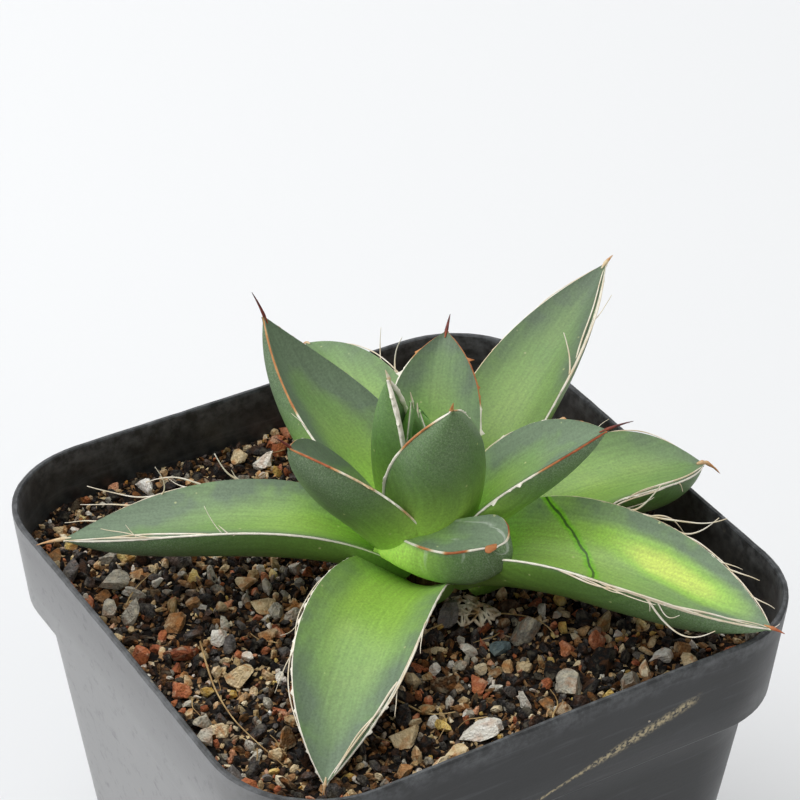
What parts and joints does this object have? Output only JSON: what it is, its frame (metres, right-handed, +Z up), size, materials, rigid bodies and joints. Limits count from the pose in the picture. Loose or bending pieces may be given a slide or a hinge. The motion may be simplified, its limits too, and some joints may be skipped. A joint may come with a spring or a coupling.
{
  "type": "potted agave",
  "caption": "Young agave rosette with thick pointed leaves, pale margins and curling threads, in a square black nursery pot of gritty soil with small stones on top.",
  "frame": {"origin": "middle of the pot's underside, on the plane it stands on", "axes": "+Z up out of the pot; X and Y square to the pot's sides, with -Y the front side and the tallest slanting leaf over the +X side"},
  "size_m": [0.0973, 0.0959, 0.1112],
  "materials": {
    "pot_plastic": "black soft polypropylene, matt, dusty and scuffed",
    "gritty_soil": "loose gritty mix of lava, pumice, bark and perlite",
    "stem_fibre": "dry straw-coloured stem and roots",
    "leaf": "fleshy green leaf skin with a dull waxy bloom",
    "pale_stone": "rough pale pumice",
    "rust_stone": "rough rust-coloured lava and tan grit",
    "grey_stone": "rough grey granite and lava"
  },
  "bodies": {
    "root": {"leaf_bud_left": "leaf", "leaf_bud_right": "leaf", "leaf_heart_back": "leaf", "leaf_heart_front": "leaf", "leaf_heart_left": "leaf", "leaf_long_left": "leaf", "leaf_long_right": "leaf", "leaf_low_back": "leaf", "leaf_low_front": "leaf", "leaf_low_right": "leaf", "leaf_short_left": "leaf", "leaf_short_right": "leaf", "leaf_spoon_front": "leaf", "leaf_upright_left": "leaf", "leaf_upright_right": "leaf", "pot": "pot_plastic", "soil": "gritty_soil", "stem": "stem_fibre", "stone_blue_slate": "grey_stone", "stone_brown_lump": "grey_stone", "stone_corner_grey": "grey_stone", "stone_cream_back": "pale_stone", "stone_grey_granite": "grey_stone", "stone_pale_oval": "pale_stone", "stone_pumice_side": "pale_stone", "stone_red_lava": "rust_stone", "stone_round_white": "pale_stone", "stone_rust_back": "rust_stone", "stone_rust_left": "rust_stone", "stone_sand_flat": "rust_stone", "stone_tan_lump": "rust_stone", "stone_white_pumice": "pale_stone"}
  },
  "joints": []
}
